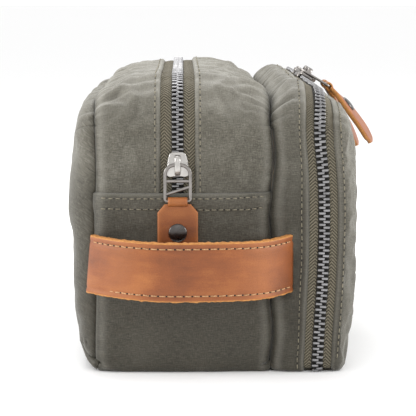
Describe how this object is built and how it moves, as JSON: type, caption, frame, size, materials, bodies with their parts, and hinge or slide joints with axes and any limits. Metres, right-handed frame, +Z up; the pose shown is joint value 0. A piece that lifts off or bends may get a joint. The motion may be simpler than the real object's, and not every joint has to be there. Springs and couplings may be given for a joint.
{
  "type": "shaving kit bag",
  "caption": "Boxy waxed canvas wash bag with a zipped top, a zipped side compartment, leather tabs and a leather carry strap across one end.",
  "frame": {"origin": "middle of the bag's length on the underside of the base", "axes": "+X towards the side compartment and its lid, -Y towards the end with the carry strap, +Z up"},
  "size_m": [0.1617, 0.2794, 0.1479],
  "materials": {
    "canvas": "waxed, matte",
    "lining_cloth": "matte",
    "zip_tape": "matte",
    "zip_teeth": "dark gunmetal",
    "slider_metal": "bright nickel",
    "rivet_metal": "dark gunmetal",
    "leather": "satin"
  },
  "bodies": {
    "root": {"carry_strap": "leather", "divider_panel": "canvas", "front_panel": "canvas", "lower_gusset": "canvas", "main_lining": "lining_cloth", "main_tape_left_far": "zip_tape", "main_tape_left_near": "zip_tape", "main_tape_right_far": "zip_tape", "main_tape_right_near": "zip_tape", "main_teeth_left_far": "zip_teeth", "main_teeth_left_near": "zip_teeth", "main_teeth_right_far": "zip_teeth", "main_teeth_right_near": "zip_teeth", "side_base": "canvas", "side_gusset": "canvas", "side_lining": "lining_cloth", "side_tape_inner": "zip_tape", "side_teeth_inner": "zip_teeth", "zip_gusset_left_far": "canvas", "zip_gusset_left_near": "canvas", "zip_gusset_right_far": "canvas", "zip_gusset_right_near": "canvas"},
    "mouth_left": {"main_tape_left_top": "zip_tape", "main_teeth_left_top": "zip_teeth", "zip_gusset_left_top": "canvas"},
    "mouth_right": {"main_tape_right_top": "zip_tape", "main_teeth_right_top": "zip_teeth", "zip_gusset_right_top": "canvas"},
    "lid": {"lid_lining": "lining_cloth", "lid_panel": "canvas", "side_tape_outer": "zip_tape", "side_teeth_outer": "zip_teeth"},
    "main_slider_body": {"main_slider": "slider_metal"},
    "main_pull_body": {"main_pull": "slider_metal"},
    "main_tab_body": {"main_tab": "leather", "main_rivet": "rivet_metal"},
    "side_slider_near_body": {"side_slider_near": "slider_metal"},
    "side_pull_near_body": {"side_pull_near": "slider_metal"},
    "side_tab_near_body": {"side_tab_near": "leather", "side_rivet_near": "rivet_metal"},
    "side_slider_far_body": {"side_slider_far": "slider_metal"},
    "side_pull_far_body": {"side_pull_far": "slider_metal"},
    "side_tab_far_body": {"side_tab_far": "leather", "side_rivet_far": "rivet_metal"}
  },
  "joints": [
    {"name": "mouth_left_fold", "type": "hinge", "parent": "root", "child": "mouth_left", "pos_m": [-0.0576, 0, 0.135], "axis": [0, -1, 0], "range_deg": [0, 75]},
    {"name": "mouth_right_fold", "type": "hinge", "parent": "root", "child": "mouth_right", "pos_m": [0.0278, 0, 0.134], "axis": [0, 1, 0], "range_deg": [0, 50]},
    {"name": "lid_fold", "type": "hinge", "parent": "root", "child": "lid", "pos_m": [0.0665, 0, 0.0035], "axis": [0, 1, 0], "range_deg": [0, 75]},
    {"name": "main_slider_slide", "type": "slide", "parent": "root", "child": "main_slider_body", "axis": [0, 0, 1], "range_m": [0, 0.012]},
    {"name": "main_pull_hinge", "type": "hinge", "parent": "main_slider_body", "child": "main_pull_body", "pos_m": [-0.0175, -0.1285, 0.103], "axis": [-1, 0, 0], "range_deg": [0, 100]},
    {"name": "main_tab_hinge", "type": "hinge", "parent": "main_pull_body", "child": "main_tab_body", "pos_m": [-0.0175, -0.1285, 0.0854], "axis": [-1, 0, 0], "range_deg": [-100, 0]},
    {"name": "side_slider_near_slide", "type": "slide", "parent": "lid", "child": "side_slider_near_body", "axis": [0, -1, 0], "range_m": [0, 0.08]},
    {"name": "side_pull_near_hinge", "type": "hinge", "parent": "side_slider_near_body", "child": "side_pull_near_body", "pos_m": [0.05009, -0.011, 0.14383], "axis": [0, -1, 0], "range_deg": [0, 110]},
    {"name": "side_tab_near_hinge", "type": "hinge", "parent": "side_pull_near_body", "child": "side_tab_near_body", "pos_m": [0.06518, -0.011, 0.13477], "axis": [0, -1, 0], "range_deg": [0, 60]},
    {"name": "side_slider_far_slide", "type": "slide", "parent": "lid", "child": "side_slider_far_body", "axis": [0, 1, 0], "range_m": [0, 0.08]},
    {"name": "side_pull_far_hinge", "type": "hinge", "parent": "side_slider_far_body", "child": "side_pull_far_body", "pos_m": [0.05009, 0.011, 0.14383], "axis": [0, -1, 0], "range_deg": [0, 110]},
    {"name": "side_tab_far_hinge", "type": "hinge", "parent": "side_pull_far_body", "child": "side_tab_far_body", "pos_m": [0.06518, 0.011, 0.13477], "axis": [0, -1, 0], "range_deg": [0, 60]}
  ],
  "couplings": [
    {"joint": "main_tab_hinge", "follows": "main_pull_hinge", "ratio": -1}
  ]
}
